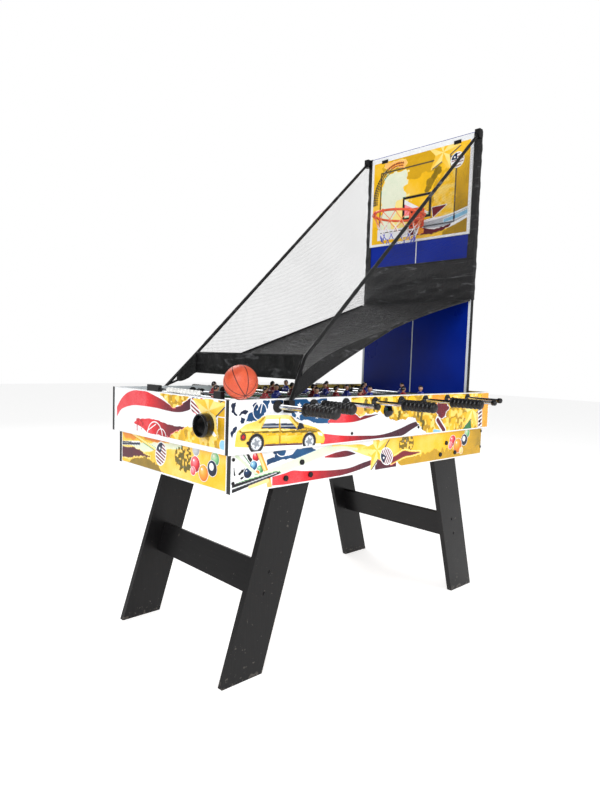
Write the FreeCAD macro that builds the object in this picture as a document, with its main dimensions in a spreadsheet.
import FreeCAD, Part
import math
import operator
import os

import Sketcher
from FreeCAD import Placement, Rotation, Vector

# A family games table: a rod-football cabinet on splayed legs, with one half of its table-tennis top
# stood up at the far end to carry a basketball hoop, and a cloth and mesh return for the ball.
# The origin is on the floor under the middle of the table. +X runs along the table to the standing
# board, +Y across it, and +Z is up. Every number below is a cell of the sheet, in millimetres.

SIZES = (
    ("length", 1220, "cabinet, over its end panels"),
    ("width", 600, "cabinet, over its side panels"),
    ("rim_height", 742, "floor to the top of the cabinet"),
    ("panel_height", 135, "upper cabinet panels"),
    ("panel_thickness", 12, ""),
    ("apron_height", 100, "lower frame that holds the legs"),
    ("apron_thickness", 15, ""),
    ("apron_end_step", 18, "apron set in from the cabinet's ends"),
    ("apron_side_step", 12, "apron set in from the cabinet's sides"),
    ("playfield_drop", 90, "rim down to the playing surface"),
    ("playfield_thickness", 9, ""),
    ("cleat_width", 30, "timber that carries the playfield"),
    ("goal_wall_thickness", 9, ""),
    ("goal_wall_drop", 12, "rim down to the goal wall's top edge"),
    ("goal_width", 180, ""),
    ("goal_height", 62, ""),
    ("trough_low", 3, "ball trough floor over its cleats, at the cup"),
    ("trough_high", 12, "and at its other end"),
    ("cup_from_side", 88, "side panel's face to the ball return cup's centre"),
    ("cup_drop", 69, "rim down to the cup's centre"),
    ("cup_radius", 30, "outer radius of the return cup"),
    ("cup_barrel", 27, "outer radius where it goes through the panel"),
    ("cup_bore", 24.5, ""),
    ("cup_lip", 22, "radius of the opening in its front lip"),
    ("cup_reach", 26, "how far it stands out"),
    ("cup_wall", 4, "thickness of the cup's front lip"),
    ("serve_drop", 47, "rim down to the serving hole's centre"),
    ("serve_bore", 16, "radius of the serving hole"),
    ("serve_radius", 19, "outer radius of its half-round scoop"),
    ("serve_reach", 14, ""),
    ("serve_flange", 2, "thickness of the flange on the panel"),
    ("rod_radius", 6.35, ""),
    ("rod_wall", 1.2, ""),
    ("rod_drop", 20, "rim down to the rods"),
    ("rod_end_gap", 65, "outer rod to the standing board's face"),
    ("rod_cap_side", 120, "tube past the cabinet, on the cap's side"),
    ("rod_grip_side", 165, "tube past the cabinet, inside the grip"),
    ("grip_gap", 75, "cabinet to the grip's flange, rod centred"),
    ("grip_length", 105, ""),
    ("grip_radius", 15.5, "over the ribs"),
    ("grip_groove", 13, "radius between the ribs"),
    ("grip_flange", 17, "radius of the flange"),
    ("grip_flange_width", 4, ""),
    ("cap_radius", 9, ""),
    ("cap_length", 14, ""),
    ("cap_cover", 10, "how much of the tube the cap covers"),
    ("bearing_barrel", 10, "outer radius, through the panel"),
    ("bearing_flange", 16, "radius of its flanges"),
    ("bearing_flange_width", 3, ""),
    ("running_gap", 0.05, "radial clearance of a sliding or turning fit"),
    ("stop_gap", 0.5, "left at the end of a rod's travel"),
    ("bumper_radius", 14, ""),
    ("bumper_length", 18, ""),
    ("long_travel", 70, "each way, rods with one to three players"),
    ("short_travel", 45, "each way, rods with five players"),
    ("player_gap", 1.5, "bumper to the outermost player"),
    ("pair_offset", 130, "two players, each from the middle"),
    ("foot_reach", 59, "rod to the sole of the foot"),
    ("foot_toe", 12, ""),
    ("foot_heel", 8, ""),
    ("foot_height", 15, ""),
    ("leg_depth", 11, "front to back"),
    ("chest_depth", 17, "front to back"),
    ("shoulder_height", 20, "over the rod"),
    ("hip_depth", 14, "below the rod"),
    ("player_width", 22, ""),
    ("boss_radius", 12, "round the rod"),
    ("boss_width", 26, ""),
    ("head_radius", 11, ""),
    ("head_height", 29, "head's centre over the rod"),
    ("leg_width", 132, "measured level, along the table"),
    ("leg_thickness", 18, ""),
    ("leg_lean", 17.2, "degrees from upright"),
    ("leg_foot_setback", 83.5, "cabinet end to the foot's centre"),
    ("leg_top_gap", 5, "leg's top to the cleats"),
    ("stretcher_width", 92, ""),
    ("stretcher_thickness", 15, ""),
    ("stretcher_height", 247, "floor to its centre"),
    ("stretcher_screw", 28, "screws from its centre line"),
    ("bolt_radius", 4, "leg bolts"),
    ("bolt_head_radius", 7.5, ""),
    ("bolt_head_height", 4, ""),
    ("nut_radius", 7, ""),
    ("nut_height", 6, ""),
    ("bolt_tip", 4, "bolt past its nut"),
    ("bolt_high", 41, "upper leg bolt below the apron's top"),
    ("bolt_low", 79, "lower leg bolts below the apron's top"),
    ("bolt_spread", 46, "lower bolts from the leg's centre line"),
    ("screw_radius", 2.2, ""),
    ("screw_head_radius", 4.5, ""),
    ("screw_head_height", 1.8, ""),
    ("screw_bite", 24, "length in the second piece"),
    ("corner_screw_high", 13, "below the apron's top"),
    ("corner_screw_low", 72, "below the apron's top"),
    ("cleat_screw_inner", 164, "from the table's middle"),
    ("cleat_screw_end", 60, "outer cleat screws from the cabinet's end"),
    ("cleat_screw_height", 27, "over the panel's bottom edge"),
    ("board_setback", 90, "cabinet end to the standing board's face"),
    ("board_thickness", 18, ""),
    ("board_side_gap", 32, "between the board and the side panels"),
    ("board_rise", 944, "board's top over the rim"),
    ("bracket_wall", 7, "channel that holds the board"),
    ("bracket_lap", 8, "how far the channel covers the board"),
    ("bracket_top_gap", 8, "channel below the rim"),
    ("backboard_margin", 19, "board's edge to the backboard's edge"),
    ("backboard_thickness", 5, ""),
    ("backboard_height", 360, ""),
    ("backboard_top_gap", 4, ""),
    ("clip_offset", 170, "clips from the centre line"),
    ("clip_width", 30, ""),
    ("clip_drop", 12, "clip's top below the backboard's top"),
    ("clip_height", 13, ""),
    ("clip_thickness", 2.5, ""),
    ("hoop_reach", 120, "board's face to the hoop's centre"),
    ("hoop_rise", 660, "hoop over the rim"),
    ("hoop_radius", 95, "to the middle of the wire"),
    ("hoop_wire", 4.5, "radius of the wire"),
    ("hoop_plate_width", 70, ""),
    ("hoop_plate_thickness", 4, ""),
    ("hoop_plate_above", 50, ""),
    ("hoop_plate_below", 28, ""),
    ("hoop_arm_width", 46, ""),
    ("hoop_arm_height", 12, ""),
    ("net_length", 98, ""),
    ("net_bottom_radius", 60, ""),
    ("net_thickness", 2, ""),
    ("pole_radius", 6, ""),
    ("pole_bend", 60, "bend radius at the elbow"),
    ("pole_foot_ahead", 30, "foot past the first rod"),
    ("pole_foot_out", 13, "foot's centre from the side panel"),
    ("pole_foot_drop", 12, "rim down to the foot"),
    ("pole_elbow_out", 9, "elbow outside the board's edge line"),
    ("pole_elbow_rise", 108, "elbow over the rim"),
    ("pole_top_ahead", 10, "pole's top in front of the board"),
    ("pole_top_out", 2, "pole's top outside the board's edge"),
    ("pole_top_drop", 14, "board's top down to the pole's top"),
    ("socket_half", 10, "half the width of a pole socket"),
    ("socket_wall", 9, "past the pole's centre"),
    ("socket_below", 24, "lower socket below the pole's foot"),
    ("socket_above", 8, "and above it"),
    ("top_socket_height", 31, ""),
    ("cloth_setback", 280, "cabinet's near end to the cloth's front wall"),
    ("cloth_thickness", 1.5, ""),
    ("cloth_low", 50, "front wall's bottom edge over the rim"),
    ("cloth_high", 340, "cloth floor over the rim, at the board"),
    ("cloth_wall_top", 112, "front wall's top edge over the rim"),
    ("cloth_back_top", 490, "back wall's top edge over the rim"),
    ("mesh_thickness", 1, ""),
    ("mesh_below_pole", 11.6, "mesh's top edge straight down from the pole's centre"),
    ("sleeve_thickness", 1.2, ""),
    ("sleeve_lap", 16, "how far the sleeve covers the board's faces"),
    ("scorer_block", 60, "length of the scorer's left end block"),
    ("scorer_end_block", 30, "length of its right end block"),
    ("scorer_left", 90, "left end block's outer end, from the centre line"),
    ("scorer_from_side", 23, "side panel's inner face to the right end block"),
    ("scorer_block_height", 18, ""),
    ("scorer_bar", 2, "radius of the bar"),
    ("scorer_bar_height", 8.5, "over the rim"),
    ("bead_radius", 6.5, ""),
    ("bead_length", 14, ""),
    ("bead_pitch", 16.4, ""),
    ("bead_start", 12, "first bead's edge, from the centre line"),
    ("ball_radius", 42.5, ""),
    ("ball_from_end", 38, "ball's centre in from the cabinet's end"),
    ("ball_lift", 0.3, "left between the ball and the rim"),
)

# How many players each rod carries, which side its grip is on (-1 the front), and how far the rod
# is slid towards its grip when the table is put away.
RODS = ((1, -1, 30), (2, -1, -34), (3, 1, 0), (5, -1, 35), (5, 1, 35), (3, -1, 28), (2, 1, -60), (1, 1, -10))
BEADS = 10
GRIP_RIBS = 7
# Where a rib's groove ends, its crest starts and its crest ends, as shares of the ribs' pitch.
GROOVE_SHARE, CREST_SHARE, FALL_SHARE = 0.15, 0.4, 0.75
SIDES = (-1, 1)

doc = FreeCAD.newDocument("games_table")
sheet = doc.addObject("Spreadsheet::Sheet", "dims")


class Size:
    """A length or angle that carries both its value and its formula over the sheet's cells."""

    def __init__(self, value, text):
        self.value = value
        self.text = text

    def __add__(self, other):
        return joined(operator.add, self, "+", other)

    def __radd__(self, other):
        return joined(operator.add, other, "+", self)

    def __sub__(self, other):
        return joined(operator.sub, self, "-", other)

    def __rsub__(self, other):
        return joined(operator.sub, other, "-", self)

    def __mul__(self, other):
        return joined(operator.mul, self, "*", other)

    def __rmul__(self, other):
        return joined(operator.mul, other, "*", self)

    def __truediv__(self, other):
        return joined(operator.truediv, self, "/", other)

    def __neg__(self):
        return joined(operator.sub, 0, "-", self)


def as_size(item):
    """A plain number as a Size."""
    return item if isinstance(item, Size) else Size(item, "(%.9g)" % item)


def joined(work, left, sign, right):
    """The result of a sum of two sizes, as a value and as a formula."""
    left, right = as_size(left), as_size(right)
    return Size(work(left.value, right.value), "(%s %s %s)" % (left.text, sign, right.text))


def trig(angle):
    """The sine and the cosine of an angle held in degrees."""
    value = math.radians(angle.value)
    text = "(%s * 1 deg)" % angle.text
    return Size(math.sin(value), "sin" + text), Size(math.cos(value), "cos" + text)


def fill_sheet():
    """Write the sizes into the sheet, and return them by name."""
    sizes = {}
    for row, (name, value, note) in enumerate(SIZES, 1):
        sheet.set("A%d" % row, name)
        sheet.set("B%d" % row, str(value))
        sheet.setAlias("B%d" % row, name)
        sheet.set("C%d" % row, note)
        sizes[name] = Size(value, "dims." + name)
    doc.recompute()
    return sizes


class Sheet:
    """The sheet's sizes as attributes."""

    def __init__(self, sizes):
        self.__dict__.update(sizes)


dim = Sheet(fill_sheet())
NODES = []

# Faces and levels that several pieces share.
END = dim.length / 2
SIDE = dim.width / 2
END_INNER = END - dim.panel_thickness
SIDE_INNER = SIDE - dim.panel_thickness
RIM = dim.rim_height
PANEL_FOOT = RIM - dim.panel_height
APRON_FOOT = PANEL_FOOT - dim.apron_height
APRON_END = END - dim.apron_end_step
APRON_SIDE = SIDE - dim.apron_side_step
LEG_SIDE = APRON_SIDE - dim.apron_thickness
FIELD = RIM - dim.playfield_drop
FIELD_FOOT = FIELD - dim.playfield_thickness
BOARD_FRONT = END - dim.board_setback
BOARD_BACK = BOARD_FRONT + dim.board_thickness
BOARD_EDGE = SIDE_INNER - dim.board_side_gap
BOARD_TOP = RIM + dim.board_rise
BACKBOARD_FRONT = BOARD_FRONT - dim.backboard_thickness
BACKBOARD_TOP = BOARD_TOP - dim.backboard_top_gap
GOAL_WALL = BOARD_BACK + dim.bracket_wall
TROUGH = GOAL_WALL + dim.goal_wall_thickness
CUP_LINE = SIDE - dim.cup_from_side
ROD_LEVEL = RIM - dim.rod_drop
ROD_LAST = BOARD_FRONT - dim.rod_end_gap
ROD_PITCH = 2 * ROD_LAST / (len(RODS) - 1)
LEG_SLOPE = trig(dim.leg_lean)[0] / trig(dim.leg_lean)[1]
LEG_FOOT = END - dim.leg_foot_setback
SLEEVE_FRONT = BOARD_FRONT - dim.sleeve_thickness
SLEEVE_EDGE = BOARD_EDGE + dim.sleeve_thickness
CLOTH_FRONT = dim.cloth_setback - END
HOOP_LEVEL = RIM + dim.hoop_rise
HOOP_CENTRE = BOARD_FRONT - dim.hoop_reach


def bind(item, name, size):
    """Bind one property of an object to a size's formula."""
    item.setExpression(name, as_size(size).text)


def place(item, x=0, y=0, z=0):
    """Bind an object's position."""
    for axis, size in (("x", x), ("y", y), ("z", z)):
        bind(item, "Placement.Base." + axis, size)
    return item


def in_order(span):
    """The two ends of a span, the lower one first."""
    ends = [as_size(end) for end in span]
    return sorted(ends, key=lambda end: end.value)


def block(name, x, y, z):
    """A box that fills three spans."""
    item = doc.addObject("Part::Box", name)
    spans = [in_order(span) for span in (x, y, z)]
    for side, (low, high) in zip(("Length", "Width", "Height"), spans):
        bind(item, side, high - low)
    return place(item, *[low for low, high in spans])


TURNS = {"x": Rotation(Vector(0, 1, 0), 90), "y": Rotation(Vector(1, 0, 0), -90), "z": Rotation()}


def drum(name, radius, axis, span, x=0, y=0, z=0):
    """A cylinder along one axis; the span is its two ends on that axis."""
    item = doc.addObject("Part::Cylinder", name)
    item.Placement = Placement(Vector(), TURNS[axis])
    low, high = in_order(span)
    bind(item, "Radius", radius)
    bind(item, "Height", high - low)
    where = {"x": x, "y": y, "z": z}
    where[axis] = low
    return place(item, **where)


def bundle(name, pieces):
    """Several separate solids as one object."""
    item = doc.addObject("Part::Compound", name)
    item.Links = list(pieces)
    return item


def fused(name, *pieces):
    """Several shapes as one solid."""
    item = doc.addObject("Part::MultiFuse", name)
    item.Shapes = list(pieces)
    item.Refine = True
    return item


def cut(name, base, *tools):
    """A shape with others taken away."""
    item = doc.addObject("Part::Cut", name)
    item.Base = base
    item.Tool = tools[0] if len(tools) == 1 else bundle(name + "_tools", tools)
    return item


def copies(name, source, places):
    """One solid of the source at each place, an (x, y, z, turn about Z in degrees)."""
    links = []
    for number, (x, y, z, turn) in enumerate(places, 1):
        link = doc.addObject("App::Link", "%s_at_%d" % (name, number))
        link.LinkedObject = source
        link.Placement = Placement(Vector(), Rotation(Vector(0, 0, 1), turn))
        links.append(place(link, x, y, z))
    return bundle(name, links)


def node(label, item):
    """Name an object as one of the table's sub-parts."""
    item.Label = label
    NODES.append(item)
    return item


def origin_plane(body, role):
    """One of a body's own origin planes or axes."""
    return [feature for feature in body.Origin.OriginFeatures if feature.Role == role][0]


def outline(body, role, corners):
    """A closed straight-sided sketch on an origin plane, each corner bound to its two sizes."""
    sketch = body.newObject("Sketcher::SketchObject", body.Name + "_outline")
    sketch.AttachmentSupport = [(origin_plane(body, role), "")]
    sketch.MapMode = "FlatFace"
    corners = [(as_size(across), as_size(up)) for across, up in corners]
    points = [Vector(across.value, up.value, 0) for across, up in corners]
    for first, second in zip(points, points[1:] + points[:1]):
        sketch.addGeometry(Part.LineSegment(first, second))
    for index in range(len(corners)):
        after = (index + 1) % len(corners)
        sketch.addConstraint(Sketcher.Constraint("Coincident", index, 2, after, 1))
    for index, corner in enumerate(corners):
        for kind, size in zip(("DistanceX", "DistanceY"), corner):
            fixed = sketch.addConstraint(Sketcher.Constraint(kind, -1, 1, index, 1, float(size.value)))
            bind(sketch, "Constraints[%d]" % fixed, size)
    return sketch


def slab(name, role, corners, span):
    """A body padded from an outline; the span is its two ends along the plane's normal.

    The outline is drawn across X or Y and up Z. The pad is centred on the drawing plane, and the
    body is then moved so that it lies where the span does.
    """
    body = doc.addObject("PartDesign::Body", name)
    pad = body.newObject("PartDesign::Pad", name + "_pad")
    pad.Profile = outline(body, role, corners)
    pad.Midplane = True
    low, high = in_order(span)
    bind(pad, "Length", high - low)
    body.Tip = pad
    middle = (low + high) / 2
    return place(body, y=middle) if role == "XZ_Plane" else place(body, x=middle)


def turned(name, corners):
    """A body turned about the Y axis from an outline of (radius, distance along Y)."""
    body = doc.addObject("PartDesign::Body", name)
    turn = body.newObject("PartDesign::Revolution", name + "_turn")
    turn.Profile = outline(body, "XY_Plane", corners)
    turn.ReferenceAxis = (origin_plane(body, "Y_Axis"), [""])
    turn.Angle = 360
    body.Tip = turn
    return body


def solid_feature(name, shape):
    """A shape made directly, for what runs along a bent line in space."""
    item = doc.addObject("Part::Feature", name)
    item.Shape = shape
    item.Placement = Placement()
    return item


# ---- The lower frame: aprons, legs and stretchers ----


def leg_axis(level):
    """Distance from the table's middle to a leg's centre line at a level."""
    return LEG_FOOT - level * LEG_SLOPE


def leg_bolt_places():
    """Distance from the table's middle, and level, of one leg's three bolts."""
    high = PANEL_FOOT - dim.bolt_high
    low = PANEL_FOOT - dim.bolt_low
    return [(leg_axis(high), high),
            (leg_axis(low) - dim.bolt_spread, low),
            (leg_axis(low) + dim.bolt_spread, low)]


def stretcher_screw_places():
    """Distance from the table's middle, and level, of the two screws in a stretcher's end."""
    levels = [dim.stretcher_height + side * dim.stretcher_screw for side in SIDES]
    return [(leg_axis(level), level) for level in levels]


def corner_screw_places():
    """Distance from the table's middle, and level, of one corner's two screws."""
    middle = APRON_END - dim.apron_thickness / 2
    return [(middle, PANEL_FOOT - dim.corner_screw_high), (middle, PANEL_FOOT - dim.corner_screw_low)]


def cleat_screw_places():
    """Distance from the table's middle, and level, of the cleat screws on one half of a side."""
    level = PANEL_FOOT + dim.cleat_screw_height
    return [(dim.cleat_screw_inner, level), (END - dim.cleat_screw_end, level)]


def holes(name, radius, places, span, ends=SIDES):
    """Holes through a side piece, mirrored to both ends of the table."""
    return [drum("%s_hole" % name, radius, "y", span, x=end * x, z=z) for end in ends for x, z in places]


def aprons():
    """Two long sides with the leg bolts, and two ends between them."""
    for side, word in zip(SIDES, ("front", "rear")):
        span = (side * LEG_SIDE, side * APRON_SIDE)
        blank = block("apron_blank", (-APRON_END, APRON_END), span, (APRON_FOOT, PANEL_FOOT))
        bores = holes("bolt", dim.bolt_radius, leg_bolt_places(), span)
        bores += holes("corner", dim.screw_radius, corner_screw_places(), span)
        node("apron_side_" + word, cut("apron_side", blank, *bores))
    for end, word in zip(SIDES, ("near", "far")):
        span = (end * (APRON_END - dim.apron_thickness), end * APRON_END)
        blank = block("apron_end_blank", span, (-LEG_SIDE, LEG_SIDE), (APRON_FOOT, PANEL_FOOT))
        bores = []
        for side in SIDES:
            reach = (side * LEG_SIDE, side * (LEG_SIDE - dim.screw_bite))
            bores += holes("pilot", dim.screw_radius, corner_screw_places(), reach, ends=(end,))
        node("apron_end_" + word, cut("apron_end", blank, *bores))


def legs():
    """Four leaning boards, cut level at the floor, bolted inside the aprons."""
    top = PANEL_FOOT - dim.leg_top_gap
    half = dim.leg_width / 2
    pieces = []
    for end in SIDES:
        for side in SIDES:
            span = (side * (LEG_SIDE - dim.leg_thickness), side * LEG_SIDE)
            corners = [(end * (leg_axis(0) - half), 0), (end * (leg_axis(0) + half), 0),
                       (end * (leg_axis(top) + half), top), (end * (leg_axis(top) - half), top)]
            blank = slab("leg_blank", "XZ_Plane", corners, span)
            bores = holes("bolt", dim.bolt_radius, leg_bolt_places(), span, ends=(end,))
            bores += holes("screw", dim.screw_radius, stretcher_screw_places(), span, ends=(end,))
            pieces.append(cut("leg", blank, *bores))
    node("legs", bundle("leg_set", pieces))


def stretchers():
    """A cross board between each pair of legs, leaning with them."""
    pieces = []
    inner = LEG_SIDE - dim.leg_thickness
    along = [dim.stretcher_width / 2 * share for share in trig(dim.leg_lean)]
    across = [dim.stretcher_thickness / 2 * share for share in trig(dim.leg_lean)]
    centre, level = leg_axis(dim.stretcher_height), dim.stretcher_height
    for end in SIDES:
        corners = [(end * (centre + up * along[0] - out * across[1]), level - up * along[1] - out * across[0])
                   for up, out in ((-1, -1), (-1, 1), (1, 1), (1, -1))]
        blank = slab("stretcher_blank", "XZ_Plane", corners, (-inner, inner))
        bores = []
        for side in SIDES:
            reach = (side * inner, side * (inner - dim.screw_bite))
            bores += holes("pilot", dim.screw_radius, stretcher_screw_places(), reach, ends=(end,))
        pieces.append(cut("stretcher", blank, *bores))
    node("leg_stretchers", bundle("stretchers", pieces))


def bolt(name, face, side, x, z):
    """A leg bolt, its head on the apron and its nut inside the leg."""
    top = face + dim.bolt_head_height
    inside = face - dim.apron_thickness - dim.leg_thickness
    tip = inside - dim.nut_height - dim.bolt_tip
    head = drum("head", dim.bolt_head_radius, "y", (side * face, side * top), x=x, z=z)
    shank = drum("shank", dim.bolt_radius, "y", (side * tip, side * face), x=x, z=z)
    nut = drum("nut", dim.nut_radius, "y", (side * (inside - dim.nut_height), side * inside), x=x, z=z)
    return fused(name, head, shank, nut)


def screw(name, face, side, depth, x, z):
    """A wood screw whose head stands on a face."""
    top = face + dim.screw_head_height
    head = drum("head", dim.screw_head_radius, "y", (side * face, side * top), x=x, z=z)
    shank = drum("shank", dim.screw_radius, "y", (side * (face - depth), side * face), x=x, z=z)
    return fused(name, head, shank)


def fasteners():
    """Leg bolts with their nuts, and the screws of the aprons, stretchers and cleats."""
    pieces = []
    for side in SIDES:
        for end in SIDES:
            for x, z in leg_bolt_places():
                pieces.append(bolt("leg_bolt", APRON_SIDE, side, end * x, z))
            for x, z in corner_screw_places():
                depth = dim.apron_thickness + dim.screw_bite
                pieces.append(screw("corner_screw", APRON_SIDE, side, depth, end * x, z))
            for x, z in stretcher_screw_places():
                depth = dim.leg_thickness + dim.screw_bite
                pieces.append(screw("stretcher_screw", LEG_SIDE, side, depth, end * x, z))
            for x, z in cleat_screw_places():
                depth = dim.panel_thickness + dim.screw_bite
                pieces.append(screw("cleat_screw", SIDE, side, depth, end * x, z))
    node("fasteners", bundle("fastener_set", pieces))


# ---- The upper cabinet ----


def rod_place(number):
    """Position along the table of a rod, counted from 0 at the near end."""
    return number * ROD_PITCH - ROD_LAST


def cabinet_panels():
    """Four printed panels. The long ones have the rod bearings, the ends have the ball return."""
    for side, word in zip(SIDES, ("front", "rear")):
        span = (side * SIDE_INNER, side * SIDE)
        blank = block("side_blank", (-END, END), span, (PANEL_FOOT, RIM))
        bores = [drum("rod_hole", dim.bearing_barrel, "y", span, x=rod_place(number), z=ROD_LEVEL)
                 for number in range(len(RODS))]
        bores.append(drum("serve_hole", dim.serve_bore, "y", span, z=RIM - dim.serve_drop))
        bores += holes("cleat", dim.screw_radius, cleat_screw_places(), span)
        node("cabinet_side_" + word, cut("cabinet_side", blank, *bores))
    for end, word in zip(SIDES, ("near", "far")):
        span = (end * END_INNER, end * END)
        blank = block("end_blank", span, (-SIDE_INNER, SIDE_INNER), (PANEL_FOOT, RIM))
        bore = drum("cup_hole", dim.cup_barrel, "x", span, y=end * CUP_LINE, z=RIM - dim.cup_drop)
        node("cabinet_end_" + word, cut("cabinet_end", blank, bore))


def playfield():
    """The playing board, on cleats that stand on the aprons and hold the panels."""
    node("playfield", block("playfield", (-TROUGH, TROUGH), (-SIDE_INNER, SIDE_INNER), (FIELD_FOOT, FIELD)))
    inner = SIDE_INNER - dim.cleat_width
    pieces = []
    for side in SIDES:
        span = (side * inner, side * SIDE_INNER)
        blank = block("long_cleat", (-END_INNER, END_INNER), span, (PANEL_FOOT, FIELD_FOOT))
        reach = (side * SIDE_INNER, side * (SIDE_INNER - dim.screw_bite))
        pieces.append(cut("cleat", blank, *holes("pilot", dim.screw_radius, cleat_screw_places(), reach)))
    for end in SIDES:
        span = (end * (END_INNER - dim.cleat_width), end * END_INNER)
        pieces.append(block("end_cleat", span, (-inner, inner), (PANEL_FOOT, FIELD_FOOT)))
    node("playfield_cleats", bundle("cleats", pieces))


def goals():
    """A goal wall across each end, and behind it a trough that slopes to the return cup."""
    pieces = []
    low = FIELD_FOOT + dim.trough_low
    high = FIELD_FOOT + dim.trough_high
    for end in SIDES:
        span = (end * GOAL_WALL, end * TROUGH)
        wall = block("goal_blank", span, (-SIDE_INNER, SIDE_INNER), (FIELD, RIM - dim.goal_wall_drop))
        post = dim.goal_width / 2
        mouth = block("goal_mouth", span, (-post, post), (FIELD, FIELD + dim.goal_height))
        pieces.append(cut("goal_wall", wall, mouth))
        corners = [(-end * SIDE_INNER, FIELD_FOOT), (end * SIDE_INNER, FIELD_FOOT), (end * SIDE_INNER, low),
                   (end * (CUP_LINE + dim.cup_radius), low), (-end * SIDE_INNER, high)]
        pieces.append(slab("ball_trough", "YZ_Plane", corners, (end * TROUGH, end * END_INNER)))
    node("goal_ends", bundle("goals", pieces))


def bearings():
    """A flanged bush in each rod hole."""
    bore = dim.rod_radius + dim.running_gap
    inner = -dim.panel_thickness
    flange = dim.bearing_flange_width
    corners = [(bore, inner - flange), (dim.bearing_flange, inner - flange), (dim.bearing_flange, inner),
               (dim.bearing_barrel, inner), (dim.bearing_barrel, 0), (dim.bearing_flange, 0),
               (dim.bearing_flange, flange), (bore, flange)]
    bush = turned("bearing", corners)
    places = []
    for number in range(len(RODS)):
        places.append((rod_place(number), SIDE, ROD_LEVEL, 0))
        places.append((rod_place(number), -SIDE, ROD_LEVEL, 180))
    node("rod_bearings", copies("bearing_set", bush, places))


def cups():
    """The ball return cups at the ends, and the serving scoops on the sides."""
    inside = -dim.panel_thickness
    behind_lip = dim.cup_reach - dim.cup_wall
    corners = [(dim.cup_bore, inside), (dim.cup_barrel, inside), (dim.cup_barrel, 0), (dim.cup_radius, 0),
               (dim.cup_radius, dim.cup_reach), (dim.cup_lip, dim.cup_reach), (dim.cup_lip, behind_lip),
               (dim.cup_bore, behind_lip)]
    cup = turned("return_cup", corners)
    level = RIM - dim.cup_drop
    pieces = [copies("return_cups", cup, [(-END, -CUP_LINE, level, 90), (END, CUP_LINE, level, -90)])]
    for side in SIDES:
        level = RIM - dim.serve_drop
        face = SIDE + dim.serve_flange
        lip = face + dim.serve_reach
        rim = dim.serve_radius + dim.serve_flange
        flange = drum("serve_flange", rim, "y", (side * SIDE, side * face), z=level)
        scoop = drum("serve_scoop", dim.serve_radius, "y", (side * face, side * lip), z=level)
        lid = block("scoop_lid", (-dim.serve_radius, dim.serve_radius), (side * face, side * lip),
                    (level, level + dim.serve_radius))
        hollow_end = lip - dim.serve_flange
        hollow = drum("scoop_hollow", dim.serve_bore, "y", (side * SIDE, side * hollow_end), z=level)
        half = cut("scoop_half", scoop, lid)
        pieces.append(cut("serve_cup", fused("serve_shell", flange, half), hollow))
    node("ball_cups", bundle("ball_cup_set", pieces))


# ---- The rods ----


def travel(count):
    """How far a rod slides each way from its middle."""
    return dim.short_travel if count == 5 else dim.long_travel


def bumper_face(count):
    """The bumper's outer face, from the rod's middle."""
    return SIDE_INNER - dim.bearing_flange_width - travel(count) - dim.stop_gap


def player_places(count):
    """Where a rod's players sit, from its middle."""
    if count == 1:
        return [0]
    if count == 2:
        return [-dim.pair_offset, dim.pair_offset]
    outer = bumper_face(count) - dim.bumper_length - dim.player_gap - dim.boss_width / 2
    return [outer * (2 * number / (count - 1) - 1) for number in range(count)]


def player():
    """A moulded player, facing +X, its boss pressed onto the rod."""
    body = doc.addObject("PartDesign::Body", "player")
    half_leg = dim.leg_depth / 2
    half_chest = dim.chest_depth / 2
    sole = -dim.foot_reach
    ankle = sole + dim.foot_height
    corners = [(-half_chest, dim.shoulder_height), (half_chest, dim.shoulder_height), (half_chest, 0),
               (half_leg, -dim.hip_depth), (half_leg, ankle), (dim.foot_toe, ankle), (dim.foot_toe, sole),
               (-dim.foot_heel, sole), (-dim.foot_heel, ankle), (-half_leg, -dim.hip_depth), (-half_chest, 0)]
    pad = body.newObject("PartDesign::Pad", "player_pad")
    pad.Profile = outline(body, "XZ_Plane", corners)
    pad.Midplane = True
    bind(pad, "Length", dim.player_width)
    boss = body.newObject("PartDesign::AdditiveCylinder", "player_boss")
    boss.Placement = Placement(Vector(), TURNS["y"])
    bind(boss, "Radius", dim.boss_radius)
    bind(boss, "Height", dim.boss_width)
    place(boss, y=-dim.boss_width / 2)
    head = body.newObject("PartDesign::AdditiveSphere", "player_head")
    bind(head, "Radius", dim.head_radius)
    place(head, z=dim.head_height)
    bore = body.newObject("PartDesign::SubtractiveCylinder", "player_bore")
    bore.Placement = Placement(Vector(), TURNS["y"])
    bind(bore, "Radius", dim.rod_radius)
    bind(bore, "Height", dim.boss_width)
    place(bore, y=-dim.boss_width / 2)
    body.Tip = bore
    return body


def grip():
    """A ribbed grip on the rod's end at -Y, closed at its outer end."""
    start = -(SIDE + dim.grip_gap)
    end = start - dim.grip_length
    first = start - dim.grip_flange_width
    pitch = (dim.grip_length - dim.grip_flange_width) / GRIP_RIBS
    corners = [(dim.rod_radius, start), (dim.grip_flange, start), (dim.grip_flange, first)]
    for rib in range(GRIP_RIBS):
        at = first - rib * pitch
        corners += [(dim.grip_groove, at - pitch * GROOVE_SHARE),
                    (dim.grip_radius, at - pitch * CREST_SHARE),
                    (dim.grip_radius, at - pitch * FALL_SHARE)]
    corners += [(dim.grip_groove, end), (0, end), (0, -(SIDE + dim.rod_grip_side)),
                (dim.rod_radius, -(SIDE + dim.rod_grip_side))]
    return turned("grip", corners)


def end_cap():
    """A cap over the rod's other end, at +Y."""
    end = SIDE + dim.rod_cap_side
    start = end - dim.cap_cover
    corners = [(dim.rod_radius, start), (dim.cap_radius, start), (dim.cap_radius, start + dim.cap_length),
               (0, start + dim.cap_length), (0, end), (dim.rod_radius, end)]
    return turned("end_cap", corners)


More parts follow.
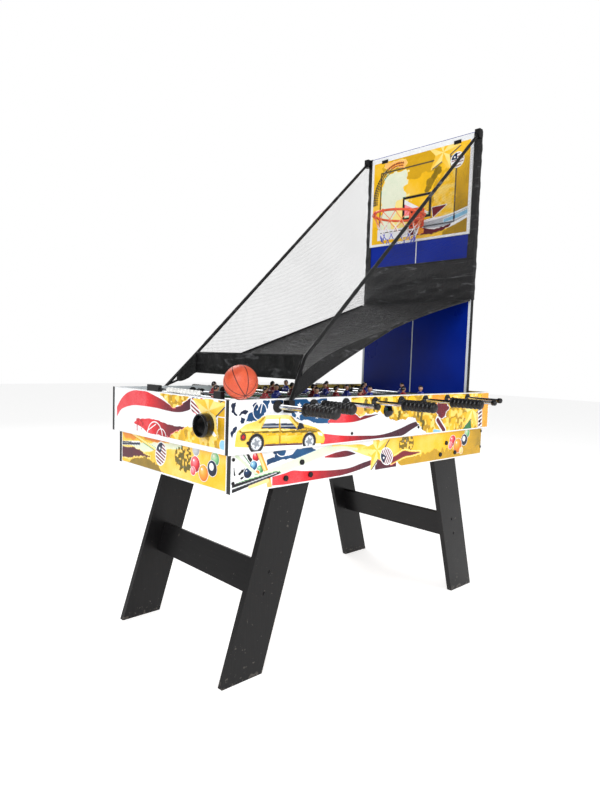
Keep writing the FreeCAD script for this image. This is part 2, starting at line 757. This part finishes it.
def tube():
    """The hollow rod, centred so that its players sit evenly across the table."""
    near = -(SIDE + dim.rod_grip_side)
    far = SIDE + dim.rod_cap_side
    inner = dim.rod_radius - dim.rod_wall
    return turned("tube", [(inner, near), (dim.rod_radius, near), (dim.rod_radius, far), (inner, far)])


def bumper():
    """A rubber bumper, loose enough for the rod to spin in it."""
    bore = dim.rod_radius + dim.running_gap
    return turned("bumper", [(bore, 0), (dim.bumper_radius, 0), (dim.bumper_radius, dim.bumper_length),
                             (bore, dim.bumper_length)])


def rods():
    """Eight rods, each a tube with its players, a grip and a cap, and two bumpers that slide with it."""
    masters = {"tube": tube(), "player": player(), "grip": grip(), "cap": end_cap(), "bumper": bumper()}
    for number, (count, hand, slid) in enumerate(RODS):
        name = "rod_%d" % (number + 1)
        x = rod_place(number)
        shift = hand * slid
        turn = 0 if hand < 0 else 180
        centre = (x, shift, ROD_LEVEL, turn)
        node(name + "_tube", copies("tube_set", masters["tube"], [centre]))
        places = [(x, y + shift, ROD_LEVEL, turn) for y in player_places(count)]
        node(name + "_players", copies("player_set", masters["player"], places))
        ends = [copies("grip_set", masters["grip"], [centre]), copies("cap_set", masters["cap"], [centre])]
        node(name + "_ends", bundle("rod_ends", ends))
        inner = bumper_face(count) - dim.bumper_length
        places = [(x, shift + inner, ROD_LEVEL, 0), (x, shift - inner, ROD_LEVEL, 180)]
        node(name + "_bumpers", copies("bumper_set", masters["bumper"], places))


# ---- The scorer and the ball ----


def scorer():
    """An abacus on the near rim: a bar between two blocks, and ten beads on it."""
    outer, inner = -END, -END_INNER
    middle = (outer + inner) / 2
    level = RIM + dim.scorer_bar_height
    top = RIM + dim.scorer_block_height
    first = dim.scorer_left
    left = block("left_block", (outer, inner), (first - dim.scorer_block, first), (RIM, top))
    last = dim.scorer_from_side - SIDE_INNER
    right = block("right_block", (outer, inner), (last, last + dim.scorer_end_block), (RIM, top))
    bar = drum("bar", dim.scorer_bar, "y", (last, first), x=middle, z=level)
    node("scorer_frame", fused("scorer", left, right, bar))
    bore = dim.scorer_bar + dim.running_gap
    bead = turned("bead", [(bore, 0), (dim.bead_radius, 0), (dim.bead_radius, dim.bead_length),
                           (bore, dim.bead_length)])
    places = [(middle, -(dim.bead_start + dim.bead_length + number * dim.bead_pitch), level, 0)
              for number in range(BEADS)]
    node("scorer_beads", copies("bead_set", bead, places))


def basketball():
    """A small ball, resting on the front rim by the near corner."""
    ball = doc.addObject("Part::Sphere", "ball")
    bind(ball, "Radius", dim.ball_radius)
    level = RIM + dim.ball_radius + dim.ball_lift
    place(ball, x=dim.ball_from_end - END, y=-(SIDE + SIDE_INNER) / 2, z=level)
    node("basketball", ball)


# ---- The standing board, the hoop and the net ----


def standing_board():
    """Half of the table-tennis top, stood on the playfield in two channels, which are returned."""
    spans = ((BOARD_FRONT, BOARD_BACK), (-BOARD_EDGE, BOARD_EDGE), (FIELD, BOARD_TOP))
    node("standing_board", block("board", *spans))
    top = RIM - dim.bracket_top_gap
    inner = BOARD_EDGE - dim.bracket_lap
    pieces = []
    for side in SIDES:
        channel = block("channel", (BOARD_FRONT - dim.bracket_wall, GOAL_WALL),
                        (side * inner, side * SIDE_INNER), (FIELD, top))
        slot = block("slot", (BOARD_FRONT, BOARD_BACK), (side * inner, side * BOARD_EDGE), (FIELD, top))
        pieces.append(cut("board_channel", channel, slot))
    return pieces


def backboard():
    """The printed backboard on the board's face, held by two clips, which are returned."""
    edge = BOARD_EDGE - dim.backboard_margin
    face = (BACKBOARD_FRONT, BOARD_FRONT)
    foot = BACKBOARD_TOP - dim.backboard_height
    node("backboard", block("backboard", face, (-edge, edge), (foot, BACKBOARD_TOP)))
    top = BACKBOARD_TOP - dim.clip_drop
    return [block("clip", (BACKBOARD_FRONT - dim.clip_thickness, BACKBOARD_FRONT),
                   (side * dim.clip_offset - dim.clip_width / 2, side * dim.clip_offset + dim.clip_width / 2),
                   (top - dim.clip_height, top)) for side in SIDES]


def hoop():
    """A wire ring on an arm and a plate, and its net."""
    ring = doc.addObject("Part::Torus", "ring")
    bind(ring, "Radius1", dim.hoop_radius)
    bind(ring, "Radius2", dim.hoop_wire)
    place(ring, x=HOOP_CENTRE, z=HOOP_LEVEL)
    plate_front = BACKBOARD_FRONT - dim.hoop_plate_thickness
    half = dim.hoop_plate_width / 2
    plate = block("plate", (plate_front, BACKBOARD_FRONT), (-half, half),
                  (HOOP_LEVEL - dim.hoop_plate_below, HOOP_LEVEL + dim.hoop_plate_above))
    half = dim.hoop_arm_width / 2
    rise = dim.hoop_arm_height / 2
    arm = block("arm", (HOOP_CENTRE + dim.hoop_radius, plate_front), (-half, half),
                (HOOP_LEVEL - rise, HOOP_LEVEL + rise))
    node("hoop_rim", fused("hoop", ring, arm, plate))
    cones = []
    top = HOOP_LEVEL - dim.hoop_arm_height / 2
    for name, inset in (("net_outside", 0), ("net_inside", dim.net_thickness)):
        cone = doc.addObject("Part::Cone", name)
        bind(cone, "Radius1", dim.net_bottom_radius - inset)
        bind(cone, "Radius2", dim.hoop_radius - dim.hoop_wire - inset)
        bind(cone, "Height", dim.net_length)
        cones.append(place(cone, x=HOOP_CENTRE, z=top - dim.net_length))
    node("hoop_net", cut("net", *cones))


def pole_points(side):
    """Foot, elbow and top of one pole."""
    foot = rod_place(0) + dim.pole_foot_ahead, SIDE + dim.pole_foot_out, RIM - dim.pole_foot_drop
    elbow = CLOTH_FRONT, BOARD_EDGE + dim.pole_elbow_out, RIM + dim.pole_elbow_rise
    top = BOARD_FRONT - dim.pole_top_ahead, BOARD_EDGE + dim.pole_top_out, BOARD_TOP - dim.pole_top_drop
    return [Vector(x.value, side * y.value, z.value) for x, y, z in (foot, elbow, top)]


def bent_tube(points, radius, bend):
    """A round bar along two straight runs with an arc between them."""
    first, corner, last = points
    back = (first - corner).normalize()
    ahead = (last - corner).normalize()
    half = back.getAngle(ahead) / 2
    reach = bend / math.tan(half)
    middle = corner + (back + ahead).normalize() * (bend / math.sin(half) - bend)
    start = corner + back * reach
    end = corner + ahead * reach
    edges = [Part.LineSegment(first, start).toShape(), Part.Arc(start, middle, end).toShape(),
             Part.LineSegment(end, last).toShape()]
    ring = Part.Wire(Part.makeCircle(radius, first, corner - first))
    return Part.Wire(edges).makePipeShell([ring], True, False)


def poles():
    """A bent tube each side, from a socket on the cabinet to one at the board's top."""
    tubes = []
    sockets = []
    for side in SIDES:
        points = pole_points(side)
        tubes.append(solid_feature("pole", bent_tube(points, dim.pole_radius.value, dim.pole_bend.value)))
        fit = (dim.pole_radius + dim.running_gap).value
        core = solid_feature("pole_space", bent_tube(points, fit, dim.pole_bend.value))
        foot = rod_place(0) + dim.pole_foot_ahead
        level = RIM - dim.pole_foot_drop
        lower = block("lower_socket", (foot - dim.socket_half, foot + dim.socket_half),
                      (side * SIDE, side * (SIDE + dim.pole_foot_out + dim.socket_wall)),
                      (level - dim.socket_below, level + dim.socket_above))
        middle = BOARD_EDGE + dim.pole_top_out
        upper = block("upper_socket", (SLEEVE_FRONT - 2 * dim.socket_half, SLEEVE_FRONT),
                      (side * (middle - dim.socket_half), side * (middle + dim.socket_half)),
                      (BOARD_TOP - dim.top_socket_height, BOARD_TOP))
        sockets += [cut("lower_cup", lower, core), cut("upper_cup", upper, core)]
    node("net_poles", bundle("poles", tubes))
    node("pole_sockets", bundle("sockets", sockets))


def return_cloth():
    """Cloth that catches the ball: a back wall, a sloping floor and a front wall."""
    thick = dim.cloth_thickness
    front = CLOTH_FRONT
    back = SLEEVE_FRONT
    low = RIM + dim.cloth_low
    high = RIM + dim.cloth_high
    rise = (high - low) / (back - front)
    corners = [(front, low), (back, high), (back, RIM + dim.cloth_back_top),
               (back - thick, RIM + dim.cloth_back_top), (back - thick, high + thick - rise * thick),
               (front + thick, low + thick + rise * thick), (front + thick, RIM + dim.cloth_wall_top),
               (front, RIM + dim.cloth_wall_top)]
    node("return_cloth", slab("cloth", "XZ_Plane", corners, (-SLEEVE_EDGE, SLEEVE_EDGE)))


def net_sides():
    """A mesh panel each side under the pole, and the sleeve that ties it round the board's edge."""
    pieces = []
    low = RIM + dim.cloth_low
    high = RIM + dim.cloth_high
    elbow, top = RIM + dim.pole_elbow_rise, BOARD_TOP - dim.pole_top_drop
    run = BOARD_FRONT - dim.pole_top_ahead - CLOTH_FRONT
    rise = (top - elbow) / run
    drop = dim.mesh_below_pole
    peak = BOARD_TOP - dim.top_socket_height
    for side in SIDES:
        corners = [(CLOTH_FRONT, low), (BOARD_BACK, high), (BOARD_BACK, peak),
                   (CLOTH_FRONT + (peak - elbow + drop) / rise, peak), (CLOTH_FRONT, elbow - drop)]
        span = (side * SLEEVE_EDGE, side * (SLEEVE_EDGE + dim.mesh_thickness))
        pieces.append(slab("mesh", "XZ_Plane", corners, span))
        lap = side * (BOARD_EDGE - dim.sleeve_lap)
        wrap = block("wrap", (SLEEVE_FRONT, BOARD_BACK + dim.sleeve_thickness), (lap, side * SLEEVE_EDGE),
                     (high, BOARD_TOP))
        inside = block("wrapped", (BOARD_FRONT, BOARD_BACK), (lap, side * BOARD_EDGE), (high, BOARD_TOP))
        pieces.append(cut("sleeve", wrap, inside))
    node("net_sides", bundle("net_side_set", pieces))


def check(item):
    """Stop if an object failed or has no sound shape."""
    for other in doc.Objects:
        if "Invalid" in other.State or "Error" in other.State:
            raise RuntimeError("%s is %s" % (other.Label, other.State))
    if item.Shape.isNull() or not item.Shape.isValid():
        raise RuntimeError("%s has no sound shape" % item.Label)


aprons()
legs()
stretchers()
fasteners()
cabinet_panels()
playfield()
goals()
bearings()
cups()
rods()
scorer()
basketball()
node("board_fittings", bundle("board_fitting_set", standing_board() + backboard()))
hoop()
poles()
return_cloth()
net_sides()
doc.recompute()

os.makedirs("parts", exist_ok=True)
for item in NODES:
    check(item)
for item in NODES:
    item.Shape.exportStep(os.path.join("parts", item.Label + ".step"))
print(len(NODES), "sub-parts written")
